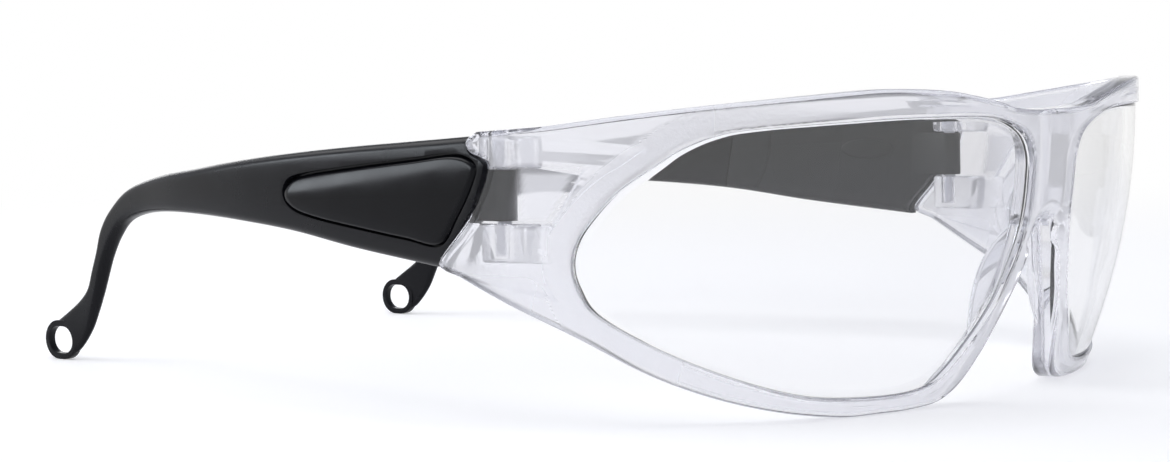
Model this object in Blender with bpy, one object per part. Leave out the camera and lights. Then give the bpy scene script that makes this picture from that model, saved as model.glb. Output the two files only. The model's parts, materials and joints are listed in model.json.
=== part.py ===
"""Wrap-around safety glasses: a clear front with two lenses and two black folding temples.

The driving dimensions are millimetres in a workshop frame: x is half-width, y runs from the front
of the bridge to the tips of the temples, and z is height above the table. to_world() turns them
into Blender's metres, with the origin under the middle of the whole object. The glasses stand on
the two flats under the rims and on the two temple tips, with the front facing -Y.
"""
import math

import bmesh
import bpy
import numpy as np
from mathutils import Vector

MM = 0.001
GAP = 0.3                 # between pieces that touch
SEGMENTS = 20             # sides of a round piece

# Wrap of the front, seen from above
HALF_WIDTH = 69.8         # outside of the lug
WRAP_DEPTH = 62.0         # from the bridge back to where the lug runs straight
WRAP_POWER_X = 3.2
WRAP_POWER_Y = 1.5
STRAIGHT_END = 14.0       # straight run behind the wrap
BROW_HEIGHT = 45.0        # the front is upright here and leans back below it
LEAN = 0.00523            # how fast it leans, per mm

# Front frame
RIM_THICKNESS = 3.8
BRIDGE_EXTRA = 1.8        # extra thickness behind the bridge
BRIDGE_SPREAD = 7.0       # half-width over which it fades
GROOVE_DEPTH = 1.1        # how far the lens groove is cut into the rim
GROOVE_FRONT = 0.6
GROOVE_REAR = 3.2
FLANGE_THICKNESS = 1.5

# Outlines on the unrolled front: (distance round the wrap from the middle, height)
ARCH_TOP = (0.0, 28.2)
BROW_LINE = [(0.0, 45.3), (5.0, 45.3), (10.8, 45.8), (15.3, 46.8), (21.2, 47.9), (28.2, 48.9),
             (37.3, 49.4), (45.4, 49.2), (64.6, 47.8), (77.8, 46.5), (86.6, 45.5), (92.7, 44.8),
             (103.3, 44.1)]
LUG_LINE = [(103.3, 44.1), (105.2, 42.7), (104.4, 41.0), (101.7, 39.9), (101.1, 38.4),
            (102.3, 34.3), (104.3, 30.5), (108.5, 25.1), (108.4, 23.3), (104.4, 22.1)]
BOTTOM_LINE = [(104.4, 22.1), (94.6, 18.0), (82.2, 13.1), (70.2, 7.8), (59.0, 4.0), (47.8, 1.4),
               (37.0, 0.0), (31.0, 0.0), (24.5, 0.0), (18.0, 0.6), (14.2, 2.8)]
NOSE_LINE = [(14.2, 2.8), (11.1, 7.4), (9.0, 11.7), (7.0, 16.0), (5.1, 20.0), (3.5, 24.6),
             (2.2, 27.3), (0.0, 28.2)]
WINDOW_LINE = [(6.7, 29.0), (6.6, 34.0), (6.9, 38.0), (9.0, 41.4), (13.5, 43.6), (19.0, 44.7),
               (26.9, 45.0), (40.0, 45.0), (58.8, 44.1), (65.0, 43.2), (70.0, 41.4), (73.8, 39.1),
               (79.4, 35.3), (82.9, 31.6), (85.2, 27.9), (85.6, 24.3), (84.0, 20.6), (80.0, 16.5),
               (69.3, 11.4), (56.7, 6.8), (45.8, 3.9), (37.2, 3.0), (27.0, 2.9), (21.5, 3.9),
               (18.4, 6.2), (15.5, 9.6), (12.6, 13.4), (10.3, 17.2), (8.8, 21.0), (7.4, 25.2)]
WINDOW_BREAKS = [0, 3, 10, 17, 24, 30]       # where the window changes side, as point indexes
SIDE_COLUMNS = [5, 18, 12, 16, 10]           # middle, brow, lug, bottom and nose columns
WINDOW_CENTRE = (45.0, 24.0)
LENS_INTO_RIM = 0.8
LENS_FRONT = 0.9
LENS_REAR = 2.9

# Nose flange: (height, x and y of its rear edge)
FLANGE_REAR = [(28.0, 3.6, 6.6), (26.0, 5.2, 8.4), (23.6, 6.6, 9.8), (20.4, 7.9, 10.8),
               (16.8, 8.9, 11.3), (13.3, 9.9, 11.3), (10.5, 11.0, 11.0), (8.4, 12.2, 10.6)]

# Hinge: upright axis, knuckles above and below the tongue
HINGE_X = 64.3
HINGE_Y = 58.0
KNUCKLE_RADIUS = 3.1
KNUCKLE_ROOT = (65.4, 49.0, 1.5)             # x, y and radius where the knuckle runs into the lug
UPPER_KNUCKLE = (38.6, 43.4)
LOWER_KNUCKLE = (24.3, 30.3)
SLOT_WALL = 2.0                              # what the slot leaves of the lug
SLOT_FRONT = (85.5, 90.0)                    # where the slot starts, at its top and at its bottom
TONGUE_RADIUS = 1.9
TONGUE_ROOT = (64.75, 66.2, 0.6)
PIN_RADIUS = 1.0
PIN_HEAD_RADIUS = 1.5
PIN_BOTTOM = 25.6
PIN_SHOULDER = 39.2
PIN_TOP = 43.0
RUNNING_GAP = 0.1
SWING_RADIUS = 3.5                           # the temple is cleared to here round the hinge axis

# Temple: plan curve (y, x) of its outer face, and pairs of upper and lower edge points (y, z)
TEMPLE_PLAN = [(50.0, 70.9), (62.0, 69.4), (80.0, 67.0), (100.0, 64.1), (120.0, 60.6), (140.0, 55.9),
               (155.0, 51.6), (168.0, 48.2), (176.0, 46.8), (182.0, 46.4), (188.0, 46.4), (194.0, 46.4)]
TEMPLE_STATIONS = [
    # upper edge, lower edge, thickness
    ((56.0, 43.8), (58.0, 22.0), 4.8), ((75.5, 42.4), (76.5, 23.8), 4.8),
    ((91.0, 41.3), (91.0, 25.3), 4.8), ((106.5, 40.0), (106.8, 27.3), 4.7),
    ((122.0, 38.4), (122.4, 28.4), 4.5), ((136.5, 36.6), (136.7, 28.9), 4.2),
    ((149.5, 34.9), (147.1, 28.8), 3.8), ((160.7, 32.3), (156.0, 28.0), 3.4),
    ((167.4, 28.5), (162.4, 26.3), 3.1), ((171.1, 24.7), (166.4, 23.2), 2.9),
    ((173.0, 20.2), (169.2, 19.6), 2.8), ((174.5, 17.0), (170.8, 16.4), 2.7),
    ((176.0, 13.6), (172.3, 12.9), 2.5), ((178.7, 11.1), (174.0, 9.2), 2.2),
    ((182.4, 8.7), (175.9, 5.6), 1.8), ((185.2, 7.0), (178.9, 2.2), 1.4),
    ((186.4, 6.0), (181.5, 0.8), 1.3)]
TEMPLE_CORNER = 1.3                          # edge radius of the temple's section
FRONT_GAP = 0.4                              # between the lug's rear edge and the temple
PLATE_OUTER = 3.4                            # the hinge plate lies this far in from the outer face
SEAM_TOP_Y = 104.5                           # the slanted seam behind the hinge plate
SEAM_BOTTOM_Y = 110.0
EYE_CENTRE = (183.9, 3.6)
EYE_OUTER_X = 46.3
EYE_HALF_LENGTH = 4.3
EYE_HALF_HEIGHT = 3.6
EYE_HOLE_HALF_LENGTH = 3.3
EYE_HOLE_RADIUS = 2.5
EYE_THICKNESS = 1.4

# Wedge inlay in the outer face of the temple: (y, z) round its edge
INLAY_LINE = [(59.9, 39.2), (65.2, 40.5), (75.6, 39.5), (90.3, 38.0), (103.4, 36.4), (106.7, 34.9),
              (107.0, 32.8), (104.6, 31.0), (98.8, 29.8), (87.3, 28.5), (76.3, 27.4), (68.2, 26.8),
              (63.6, 31.4), (60.3, 36.2)]
INLAY_REAR = 1.4
INLAY_PROUD = 0.35
POCKET_DEPTH = 1.7

DEPTH = EYE_CENTRE[0] + EYE_HALF_LENGTH


def clear_scene():
    for item in list(bpy.data.objects):
        bpy.data.objects.remove(item, do_unlink=True)


def make_material(name, colour, roughness, alpha=1.0):
    material = bpy.data.materials.new(name)
    material.use_nodes = True
    shader = material.node_tree.nodes["Principled BSDF"]
    shader.inputs["Base Color"].default_value = (*colour, 1.0)
    shader.inputs["Roughness"].default_value = roughness
    shader.inputs["Metallic"].default_value = 0.0
    shader.inputs["Alpha"].default_value = alpha
    return material


def to_world(x, y, z):
    """Turn workshop millimetres into world metres."""
    return Vector((x, y - DEPTH / 2, z)) * MM


# ---------------------------------------------------------------- curves

def smooth_line(points, steps, closed=False):
    """A Catmull-Rom line through the points; point i of the input is point i * steps."""
    count = len(points)
    line = []
    for i in range(count if closed else count - 1):
        if closed:
            around = [points[(i + k) % count] for k in (-1, 0, 1, 2)]
        else:
            around = [points[min(max(i + k, 0), count - 1)] for k in (-1, 0, 1, 2)]
        p0, p1, p2, p3 = (np.array(p, dtype=float) for p in around)
        for k in range(steps):
            t = k / steps
            line.append(tuple(0.5 * (2 * p1 + (p2 - p0) * t + (2 * p0 - 5 * p1 + 4 * p2 - p3) * t ** 2
                                     + (3 * p1 - 3 * p2 + p3 - p0) * t ** 3)))
    line.append(tuple(map(float, points[0] if closed else points[-1])))
    return line


def spread(line, parts):
    """Points at equal distances along a line; the last one is left to the next side."""
    line = np.array(line)
    lengths = np.concatenate([[0], np.cumsum(np.hypot(*np.diff(line, axis=0).T))])
    wanted = np.linspace(0, lengths[-1], parts + 1)[:-1]
    return [(float(np.interp(w, lengths, line[:, 0])), float(np.interp(w, lengths, line[:, 1])))
            for w in wanted]


def wrap_table():
    """The wrap seen from above, as x, y and distance from the middle."""
    turn = np.linspace(0, math.pi / 2, 800)
    x = HALF_WIDTH * np.sin(turn) ** (2 / WRAP_POWER_X)
    y = WRAP_DEPTH * (1 - np.cos(turn) ** (2 / WRAP_POWER_Y))
    x = np.append(x, HALF_WIDTH)
    y = np.append(y, WRAP_DEPTH + STRAIGHT_END)
    run = np.concatenate([[0], np.cumsum(np.hypot(np.diff(x), np.diff(y)))])
    return x, y, run


WRAP_X, WRAP_Y, WRAP_RUN = wrap_table()


def wrap_point(run, height, depth):
    """A point on the front of the right half, 'depth' behind its outer surface."""
    step = 0.4
    ahead, behind = run + step, max(run - step, 0.0)
    x, y = np.interp(run, WRAP_RUN, WRAP_X), np.interp(run, WRAP_RUN, WRAP_Y)
    along = Vector((np.interp(ahead, WRAP_RUN, WRAP_X) - np.interp(behind, WRAP_RUN, WRAP_X),
                    np.interp(ahead, WRAP_RUN, WRAP_Y) - np.interp(behind, WRAP_RUN, WRAP_Y)))
    if run <= 0.0:
        along = Vector((1.0, 0.0))
    along.normalize()
    lean = LEAN * max(BROW_HEIGHT - height, 0.0) ** 2
    return (x - along.y * depth, y + along.x * depth + lean, height)


TEMPLE_Y, TEMPLE_X = np.array(smooth_line(TEMPLE_PLAN, 12)).T


def temple_point(y, height, depth):
    """A point on the temple, 'depth' in from its outer face."""
    step = 0.5
    x = np.interp(y, TEMPLE_Y, TEMPLE_X)
    slope = (np.interp(y + step, TEMPLE_Y, TEMPLE_X) - np.interp(y - step, TEMPLE_Y, TEMPLE_X)) / (2 * step)
    size = math.hypot(1.0, slope)
    return (x - depth / size, y + slope * depth / size, height)


# ---------------------------------------------------------------- solids

def make_object(name, points, faces, material, side=1):
    """One closed solid from workshop points; side -1 mirrors it to the wearer's right."""
    mesh = bpy.data.meshes.new(name)
    mesh.from_pydata([to_world(side * x, y, z) for x, y, z in points], [], faces)
    shape = bmesh.new()
    shape.from_mesh(mesh)
    bmesh.ops.remove_doubles(shape, verts=shape.verts, dist=0.002 * MM)
    bmesh.ops.recalc_face_normals(shape, faces=shape.faces)
    shape.to_mesh(mesh)
    shape.free()
    if material:
        mesh.materials.append(material)
    item = bpy.data.objects.new(name, mesh)
    bpy.context.collection.objects.link(item)
    return item


def loft(rings, capped=True):
    """Points and faces of a skin over equal rings, with flat ends."""
    size = len(rings[0])
    points = [p for ring in rings for p in ring]
    faces = []
    for i in range(len(rings) - 1):
        for k in range(size):
            n = (k + 1) % size
            faces.append((i * size + k, i * size + n, (i + 1) * size + n, (i + 1) * size + k))
    if capped:
        faces.append(tuple(range(size)))
        faces.append(tuple((len(rings) - 1) * size + k for k in range(size)))
    return points, faces


def circle(x, y, radius, height, sides=SEGMENTS):
    return [(x + radius * math.cos(2 * math.pi * k / sides),
             y + radius * math.sin(2 * math.pi * k / sides), height) for k in range(sides)]


def hull_object(name, points, side):
    """The tightest convex solid round the points."""
    mesh = bpy.data.meshes.new(name)
    shape = bmesh.new()
    for x, y, z in points:
        shape.verts.new(to_world(side * x, y, z))
    result = bmesh.ops.convex_hull(shape, input=shape.verts)
    bmesh.ops.delete(shape, geom=[v for v in result["geom_interior"] if isinstance(v, bmesh.types.BMVert)],
                     context="VERTS")
    bmesh.ops.dissolve_limit(shape, angle_limit=0.001, verts=shape.verts, edges=shape.edges)
    bmesh.ops.recalc_face_normals(shape, faces=shape.faces)
    shape.to_mesh(mesh)
    shape.free()
    item = bpy.data.objects.new(name, mesh)
    bpy.context.collection.objects.link(item)
    return item


def apply_tool(target, tool, operation):
    """Join, cut or keep the common part of two solids, and hide the tool."""
    tool.hide_render = True
    tool.display_type = "WIRE"
    modifier = target.modifiers.new(tool.name, "BOOLEAN")
    modifier.operation = operation
    modifier.solver = "EXACT"
    modifier.object = tool


def upright_cylinder(name, radius, low, high, side):
    rings = [circle(HINGE_X, HINGE_Y, radius, low), circle(HINGE_X, HINGE_Y, radius, high)]
    points, faces = loft(rings)
    return make_object(name, points, faces, None, side)


# ---------------------------------------------------------------- front frame

def front_columns():
    """Matching points on the window and on the outline of one half, in order round the window."""
    steps = 6
    window = smooth_line(WINDOW_LINE, steps, closed=True)
    bottom = smooth_line(BOTTOM_LINE + NOSE_LINE[1:], steps)
    corner = (len(BOTTOM_LINE) - 1) * steps
    outline_sides = [[ARCH_TOP, BROW_LINE[0]], smooth_line(BROW_LINE, steps),
                     smooth_line(LUG_LINE, steps), bottom[:corner + 1], bottom[corner:]]
    window_pts, outline_pts = [], []
    for i, parts in enumerate(SIDE_COLUMNS):
        start, end = WINDOW_BREAKS[i] * steps, WINDOW_BREAKS[i + 1] * steps
        window_pts += spread(window[start:end + 1], parts)
        outline_pts += spread(outline_sides[i], parts)
    return window_pts, outline_pts


def shift_from(window, outline, distance):
    """A point 'distance' outside the window, towards the outline."""
    across = Vector(outline) - Vector(window)
    return tuple(Vector(window) + across.normalized() * distance)


def between(window, outline, share):
    return tuple(Vector(window).lerp(Vector(outline), share))


def rim_thickness(run):
    return RIM_THICKNESS + BRIDGE_EXTRA * math.exp(-(run / BRIDGE_SPREAD) ** 2)


def front_half(side):
    """Points and faces of one half of the front, open where it meets the other half."""
    window_pts, outline_pts = front_columns()
    rows = []
    for window, outline in zip(window_pts, outline_pts):
        section = [(window, 0.0), (between(window, outline, 0.5), 0.0), (outline, 0.0), (outline, None),
                   (between(window, outline, 0.5), None), (window, None), (window, GROOVE_REAR),
                   (shift_from(window, outline, GROOVE_DEPTH), GROOVE_REAR),
                   (shift_from(window, outline, GROOVE_DEPTH), GROOVE_FRONT), (window, GROOVE_FRONT)]
        row = []
        for (run, height), depth in section:
            row.append(wrap_point(run, max(height, 0.0), rim_thickness(run) if depth is None else depth))
        rows.append(row)
    size, count = len(rows[0]), len(rows)
    outer_wall = 2
    points = [(side * x, y, z) for row in rows for x, y, z in row]
    faces = []
    for i in range(count):
        n = (i + 1) % count
        for k in range(size):
            if k == outer_wall and i < SIDE_COLUMNS[0]:
                continue
            m = (k + 1) % size
            faces.append((i * size + k, i * size + m, n * size + m, n * size + k))
    return points, faces


def nose_x(height):
    """Half-width of the nose opening at a height."""
    line = smooth_line(NOSE_LINE, 6)[::-1]
    return float(np.interp(-height, [-h for _, h in line], [x for x, _ in line]))


def make_flange(side):
    """The wing behind the nose edge of a rim that rests on the nose."""
    rings = []
    for height, rear_x, rear_y in FLANGE_REAR:
        root_x = nose_x(height) + 0.35
        _, root_y, _ = wrap_point(root_x, height, RIM_THICKNESS - 1.2)
        along = Vector((rear_x - root_x, rear_y - root_y)).normalized()
        out = Vector((along.y, -along.x)) * FLANGE_THICKNESS
        rings.append([(root_x, root_y, height), (rear_x, rear_y, height),
                      (rear_x + out.x, rear_y + out.y, height), (root_x + out.x, root_y + out.y, height)])
    points, faces = loft(rings)
    return make_object("tool_flange", points, faces, None, side)


def make_knuckle(low, high, side):
    root_x, root_y, root_radius = KNUCKLE_ROOT
    points = []
    for height in (low, high):
        points += circle(HINGE_X, HINGE_Y, KNUCKLE_RADIUS, height)
        points += circle(root_x, root_y, root_radius, height)
    return hull_object("tool_knuckle", points, side)


def make_slot_cutter(side):
    """Cuts the lug from inside, so that the tongue can swing between the knuckles."""
    low, high = LOWER_KNUCKLE[1], UPPER_KNUCKLE[0]
    rings = []
    for k in range(11):
        share = k / 10
        top = SLOT_FRONT[0] + (116.0 - SLOT_FRONT[0]) * share
        bottom = SLOT_FRONT[1] + (116.0 - SLOT_FRONT[1]) * share
        rings.append([wrap_point(top, high, SLOT_WALL), wrap_point(top, high, 9.0),
                      wrap_point(bottom, low, 9.0), wrap_point(bottom, low, SLOT_WALL)])
    points, faces = loft(rings)
    return make_object("tool_slot", points, faces, None, side)


def make_front_frame(material):
    points, faces = front_half(1)
    mirrored, more_faces = front_half(-1)
    first = len(points)
    faces += [tuple(first + v for v in reversed(face)) for face in more_faces]
    frame = make_object("front_frame", points + mirrored, faces, material)
    for side in (1, -1):
        apply_tool(frame, make_flange(side), "UNION")
        apply_tool(frame, make_knuckle(*UPPER_KNUCKLE, side), "UNION")
        apply_tool(frame, make_knuckle(*LOWER_KNUCKLE, side), "UNION")
        apply_tool(frame, make_slot_cutter(side), "DIFFERENCE")
        shank = upright_cylinder("tool_bore", PIN_RADIUS + RUNNING_GAP, PIN_BOTTOM - GAP, 50.0, side)
        head = upright_cylinder("tool_head_bore", PIN_HEAD_RADIUS + RUNNING_GAP, PIN_SHOULDER - GAP,
                                50.0, side)
        apply_tool(frame, shank, "DIFFERENCE")
        apply_tool(frame, head, "DIFFERENCE")
    return frame


def make_lens(name, material, side):
    """A curved pane that reaches into the groove of its rim."""
    window_pts, outline_pts = front_columns()
    edge = [shift_from(w, o, LENS_INTO_RIM) for w, o in zip(window_pts, outline_pts)]
    count = len(edge)
    shares = (1.0, 0.7, 0.35)
    points = []
    for depth in (LENS_FRONT, LENS_REAR):
        for share in shares:
            for point in edge:
                run, height = between(WINDOW_CENTRE, point, share)
                points.append(wrap_point(run, height, depth))
        points.append(wrap_point(*WINDOW_CENTRE, depth))
    layer = count * len(shares) + 1
    faces = []
    for i in range(count):
        n = (i + 1) % count
        faces.append((i, n, layer + n, layer + i))
        for base in (0, layer):
            for k in range(len(shares) - 1):
                a, b = base + k * count, base + (k + 1) * count
                faces.append((a + i, a + n, b + n, b + i))
            inner = base + (len(shares) - 1) * count
            faces.append((inner + i, inner + n, base + layer - 1))
    return make_object(name, points, faces, material, side)


def make_pin(name, material, side):
    rings = [circle(HINGE_X, HINGE_Y, PIN_RADIUS, PIN_BOTTOM),
             circle(HINGE_X, HINGE_Y, PIN_RADIUS, PIN_SHOULDER),
             circle(HINGE_X, HINGE_Y, PIN_HEAD_RADIUS, PIN_SHOULDER),
             circle(HINGE_X, HINGE_Y, PIN_HEAD_RADIUS, PIN_TOP)]
    points, faces = loft(rings)
    pin = make_object(name, points, faces, material, side)
    pin.data.shade_smooth()
    pin.data.set_sharp_from_angle(angle=math.radians(40))
    return pin


# ---------------------------------------------------------------- temple

def section_ring(upper, lower, thickness):
    """One cross-section of the temple: a rounded bar between its upper and lower edge."""
    upper, lower = Vector(upper), Vector(lower)
    tall = (upper - lower).length
    up = (upper - lower) / tall
    radius = min(TEMPLE_CORNER, 0.45 * thickness, 0.45 * tall)
    corners = [(thickness - radius, tall - radius, 0), (radius, tall - radius, 90),
               (radius, radius, 180), (thickness - radius, radius, 270)]
    ring = []
    for across, rise, start in corners:
        for k in range(4):
            angle = math.radians(start + 30 * k)
            depth = across + radius * math.cos(angle)
            y, z = lower + up * (rise + radius * math.sin(angle))
            ring.append(temple_point(y, z, depth))
    return ring


def temple_bar(name, material, side):
    """The whole bar of a temple, from in front of the hinge to inside the lanyard eye."""
    flat = [(*upper, *lower, thickness) for upper, lower, thickness in TEMPLE_STATIONS]
    rings = [section_ring(p[0:2], p[2:4], p[4]) for p in smooth_line(flat, 3)]
    points, faces = loft(rings)
    return make_object(name, points, faces, material, side)


def edge_prism(name, outline, near, far, side):
    """A prism over an outline in the temple's side view, between two depths from its outer face."""
    rings = [[temple_point(y, z, near) for y, z in outline], [temple_point(y, z, far) for y, z in outline]]
    points, faces = loft(rings)
    return make_object(name, points, faces, None, side)


def make_front_cutter(side):
    """Takes off everything ahead of the temple's front edge, which follows the rear edge of the lug."""
    outline = grow([(97.0, 50.0), (LUG_LINE[0][0], 50.0)] + smooth_line(LUG_LINE, 3)
                   + [(LUG_LINE[-1][0], 15.0), (97.0, 15.0)], FRONT_GAP)
    points, faces = loft([[wrap_point(run, z, depth) for run, z in outline] for depth in (-4.0, 9.0)])
    return make_object("tool_front_edge", points, faces, None, side)


def seam_slab(name, shift, near, far, side):
    """A curved slab ahead of the slanted seam, between two depths from the outer face."""
    rings = []
    for k in range(11):
        top = 50.0 + (SEAM_TOP_Y + shift - 50.0) * k / 10
        bottom = 50.0 + (SEAM_BOTTOM_Y + shift - 50.0) * k / 10
        rings.append([temple_point(top, 48.0, near), temple_point(top, 48.0, far),
                      temple_point(bottom, 18.0, far), temple_point(bottom, 18.0, near)])
    points, faces = loft(rings)
    return make_object(name, points, faces, None, side)


def oval(half_length, half_height, parts=10):
    """A bar with round ends, centred on the lanyard eye."""
    straight = half_length - half_height
    outline = []
    for end in (1, -1):
        for k in range(parts + 1):
            angle = math.pi * (k / parts - 0.5)
            outline.append((EYE_CENTRE[0] + end * (straight + half_height * math.cos(angle)),
                            EYE_CENTRE[1] + end * half_height * math.sin(angle)))
    return outline


def grow(outline, distance):
    """The outline moved outwards by a distance."""
    moved = []
    count = len(outline)
    area = sum(outline[i - 1][0] * outline[i][1] - outline[i][0] * outline[i - 1][1] for i in range(count))
    turn = 1 if area > 0 else -1
    for i in range(count):
        before, here, after = (Vector(outline[k]) for k in (i - 1, i, (i + 1) % count))
        along = ((here - before).normalized() + (after - here).normalized()).normalized()
        out = Vector((along.y, -along.x)) * turn
        moved.append(tuple(here + out * distance))
    return moved


def eye_prism(name, outline, near, far, side):
    """A prism across the lanyard eye, between two depths from its outer face."""
    rings = [[(EYE_OUTER_X - depth, y, z) for y, z in outline] for depth in (near, far)]
    points, faces = loft(rings)
    return make_object(name, points, faces, None, side)


def make_arm(name, material, side):
    arm = temple_bar(name, material, side)
    eye = eye_prism("tool_eye", oval(EYE_HALF_LENGTH, EYE_HALF_HEIGHT), 0.0, EYE_THICKNESS, side)
    hole = eye_prism("tool_eye_hole", oval(EYE_HOLE_HALF_LENGTH, EYE_HOLE_RADIUS), -3.0, 6.0, side)
    apply_tool(arm, eye, "UNION")
    apply_tool(arm, hole, "DIFFERENCE")
    apply_tool(arm, make_front_cutter(side), "DIFFERENCE")
    apply_tool(arm, upright_cylinder("tool_swing", SWING_RADIUS, 10.0, 55.0, side), "DIFFERENCE")
    apply_tool(arm, seam_slab("tool_plate_seat", 0.0, PLATE_OUTER - GAP, 9.0, side), "DIFFERENCE")
    pocket = edge_prism("tool_pocket", grow(INLAY_LINE, GAP), -2.0, POCKET_DEPTH, side)
    apply_tool(arm, pocket, "DIFFERENCE")
    return arm


def make_hinge_plate(name, material, side):
    plate = temple_bar(name, material, side)
    apply_tool(plate, seam_slab("tool_plate", -GAP, PLATE_OUTER, 9.0, side), "INTERSECT")
    apply_tool(plate, make_front_cutter(side), "DIFFERENCE")
    apply_tool(plate, upright_cylinder("tool_plate_swing", SWING_RADIUS, 10.0, 55.0, side), "DIFFERENCE")
    root_x, root_y, root_radius = TONGUE_ROOT
    points = []
    for height in (LOWER_KNUCKLE[1] + GAP, UPPER_KNUCKLE[0] - GAP):
        points += circle(HINGE_X, HINGE_Y, TONGUE_RADIUS, height)
        points += circle(root_x, root_y, root_radius, height)
    tongue = hull_object("tool_tongue", points, side)
    bore = upright_cylinder("tool_tongue_bore", PIN_RADIUS + RUNNING_GAP, 20.0, 50.0, side)
    apply_tool(tongue, bore, "DIFFERENCE")
    apply_tool(plate, tongue, "UNION")
    return plate


def make_inlay(name, material, side):
    crown = [temple_point(y, z, -INLAY_PROUD) for y, z in grow(INLAY_LINE, -0.8)]
    rings = [[temple_point(y, z, INLAY_REAR) for y, z in INLAY_LINE],
             [temple_point(y, z, 0.1) for y, z in INLAY_LINE], crown]
    points, faces = loft(rings)
    return make_object(name, points, faces, material, side)


def hang_on_hinge(pieces, name, side):
    """Parents the pieces of a temple to an empty on its hinge axis, where they are."""
    hinge = bpy.data.objects.new(name, None)
    hinge.location = to_world(side * HINGE_X, HINGE_Y, (LOWER_KNUCKLE[1] + UPPER_KNUCKLE[0]) / 2)
    bpy.context.collection.objects.link(hinge)
    bpy.context.view_layer.update()
    for piece in pieces:
        piece.parent = hinge
        piece.matrix_parent_inverse = hinge.matrix_world.inverted()


def main():
    clear_scene()
    clear_plastic = make_material("clear_plastic", (0.90, 0.91, 0.94), 0.06, alpha=0.35)
    clear_lens = make_material("clear_lens", (0.95, 0.96, 0.98), 0.02, alpha=0.25)
    black_plastic = make_material("black_plastic", (0.018, 0.019, 0.022), 0.28)
    black_gloss = make_material("black_gloss", (0.014, 0.015, 0.017), 0.12)
    grey_plastic = make_material("grey_plastic", (0.055, 0.056, 0.062), 0.42)
    pin_plastic = make_material("pin_plastic", (0.78, 0.79, 0.82), 0.2)

    make_front_frame(clear_plastic)
    for side, word in ((1, "left"), (-1, "right")):
        make_lens("lens_" + word, clear_lens, side)
        make_pin("hinge_pin_" + word, pin_plastic, side)
        pieces = [make_arm("temple_arm_" + word, black_plastic, side),
                  make_hinge_plate("hinge_plate_" + word, grey_plastic, side),
                  make_inlay("temple_inlay_" + word, black_gloss, side)]
        hang_on_hinge(pieces, "hinge_axis_" + word, side)


main()
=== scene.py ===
"""Looks of the wrap-around safety glasses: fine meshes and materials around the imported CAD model.

The shapes are worked out in the CAD's workshop millimetres: x is half-width, y runs back from the
front of the bridge, z is height. to_world() puts them in the frame, whose front edge gives y = 0.
"""
import json
import math

import bmesh
import bpy
import numpy as np
from mathutils import Matrix, Vector


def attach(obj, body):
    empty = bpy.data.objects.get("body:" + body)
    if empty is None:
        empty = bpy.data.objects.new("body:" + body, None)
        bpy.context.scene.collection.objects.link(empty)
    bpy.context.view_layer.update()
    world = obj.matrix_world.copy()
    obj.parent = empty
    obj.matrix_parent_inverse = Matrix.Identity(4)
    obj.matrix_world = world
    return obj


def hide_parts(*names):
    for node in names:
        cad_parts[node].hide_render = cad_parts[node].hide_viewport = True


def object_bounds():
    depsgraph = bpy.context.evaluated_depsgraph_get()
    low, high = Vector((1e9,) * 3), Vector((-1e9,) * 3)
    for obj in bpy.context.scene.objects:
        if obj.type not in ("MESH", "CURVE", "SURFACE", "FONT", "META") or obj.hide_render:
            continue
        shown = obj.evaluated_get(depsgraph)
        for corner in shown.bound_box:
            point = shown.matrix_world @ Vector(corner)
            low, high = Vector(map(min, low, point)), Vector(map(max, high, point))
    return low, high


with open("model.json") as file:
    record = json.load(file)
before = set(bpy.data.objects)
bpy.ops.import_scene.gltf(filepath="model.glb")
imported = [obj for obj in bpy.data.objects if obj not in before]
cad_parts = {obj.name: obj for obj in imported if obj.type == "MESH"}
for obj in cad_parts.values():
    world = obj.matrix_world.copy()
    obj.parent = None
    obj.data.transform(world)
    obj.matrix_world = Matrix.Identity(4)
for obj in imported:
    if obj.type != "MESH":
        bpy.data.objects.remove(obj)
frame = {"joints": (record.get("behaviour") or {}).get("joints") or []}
cad_low, cad_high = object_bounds()

MM = 0.001
FRONT_Y = cad_low.y

# ---------------------------------------------------------------- shape of the front
HALF_WIDTH = 69.8          # outside of the lug
WRAP_DEPTH = 62.0          # from the bridge back to where the lug runs straight
WRAP_POWER_X = 3.2
WRAP_POWER_Y = 1.5
STRAIGHT_END = 14.0        # straight run behind the wrap
BROW_HEIGHT = 45.0         # the front is upright here and leans back below it
LEAN = 0.00523             # how fast it leans, per mm
RIM_THICKNESS = 3.8
BRIDGE_EXTRA = 1.8         # extra thickness behind the bridge
BRIDGE_SPREAD = 7.0        # half-width over which it fades

# Outlines of one half, as (run along the front from the middle, height)
ARCH_TOP = (0.0, 28.2)
BROW_LINE = [(0.0, 45.3), (5.0, 45.3), (10.8, 45.8), (15.3, 46.8), (21.2, 47.9), (28.2, 48.9),
             (37.3, 49.4), (45.4, 49.2), (64.6, 47.8), (77.8, 46.5), (86.6, 45.5), (92.7, 44.8),
             (103.3, 44.1)]
LUG_LINE = [(103.3, 44.1), (105.2, 42.7), (104.4, 41.0), (101.7, 39.9), (101.1, 38.4),
            (102.3, 34.3), (104.3, 30.5), (108.5, 25.1), (108.4, 23.3), (104.4, 22.1)]
BOTTOM_LINE = [(104.4, 22.1), (94.6, 18.0), (82.2, 13.1), (70.2, 7.8), (59.0, 4.0), (47.8, 1.4),
               (37.0, 0.0), (31.0, 0.0), (24.5, 0.0), (18.0, 0.6), (14.2, 2.8)]
NOSE_LINE = [(14.2, 2.8), (11.1, 7.4), (9.0, 11.7), (7.0, 16.0), (5.1, 20.0), (3.5, 24.6),
             (2.2, 27.3), (0.0, 28.2)]
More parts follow.
